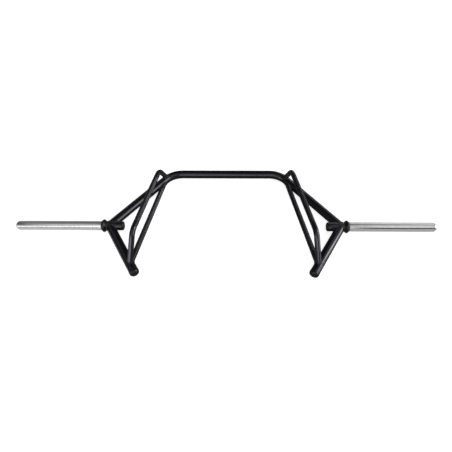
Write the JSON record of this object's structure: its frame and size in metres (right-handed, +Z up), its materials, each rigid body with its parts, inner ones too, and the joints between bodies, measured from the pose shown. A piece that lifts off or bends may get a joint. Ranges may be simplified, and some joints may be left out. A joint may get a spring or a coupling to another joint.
{
  "type": "trap bar",
  "caption": "Open trap bar: a bent frame that is open at the front, low and raised grips on each side, and turning plate sleeves behind double-cone collars.",
  "frame": {"origin": "on the floor under the middle of the bar's outline, as it lies on its collars and its rear bar", "axes": "+X along the sleeves from the left one to the right one, +Y from the open front to the rear bar, +Z up"},
  "size_m": [2.2798, 0.7358, 0.1891],
  "materials": {
    "paint": "gloss black",
    "chrome": "polished",
    "cap_plastic": "satin black",
    "collar_black": "satin black",
    "spindle_steel": "turned and oiled",
    "bush_bronze": "bearing bronze",
    "zinc": "zinc plated"
  },
  "bodies": {
    "frame": {"rear_tube": "paint", "left_front_arm": "paint", "left_arm_cap": "cap_plastic", "left_low_handle": "paint", "left_raised_handle": "paint", "left_hub": "paint", "left_hub_cap": "cap_plastic", "left_spindle": "spindle_steel", "left_thrust_washer": "bush_bronze", "left_end_washer": "zinc", "left_end_bolt": "zinc", "right_front_arm": "paint", "right_arm_cap": "cap_plastic", "right_low_handle": "paint", "right_raised_handle": "paint", "right_hub": "paint", "right_hub_cap": "cap_plastic", "right_spindle": "spindle_steel", "right_thrust_washer": "bush_bronze", "right_end_washer": "zinc", "right_end_bolt": "zinc"},
    "left_sleeve": {"left_sleeve_tube": "chrome", "left_collar": "collar_black", "left_inner_bush": "bush_bronze", "left_outer_bush": "bush_bronze", "left_end_plug": "chrome"},
    "right_sleeve": {"right_sleeve_tube": "chrome", "right_collar": "collar_black", "right_inner_bush": "bush_bronze", "right_outer_bush": "bush_bronze", "right_end_plug": "chrome"}
  },
  "joints": [
    {"name": "left_sleeve_turn", "type": "hinge", "parent": "frame", "child": "left_sleeve", "pos_m": [-0.65, -0.05607, 0.03499], "axis": [1, 0, 0], "continuous": true},
    {"name": "right_sleeve_turn", "type": "hinge", "parent": "frame", "child": "right_sleeve", "pos_m": [0.65, -0.05607, 0.03499], "axis": [1, 0, 0], "continuous": true}
  ]
}
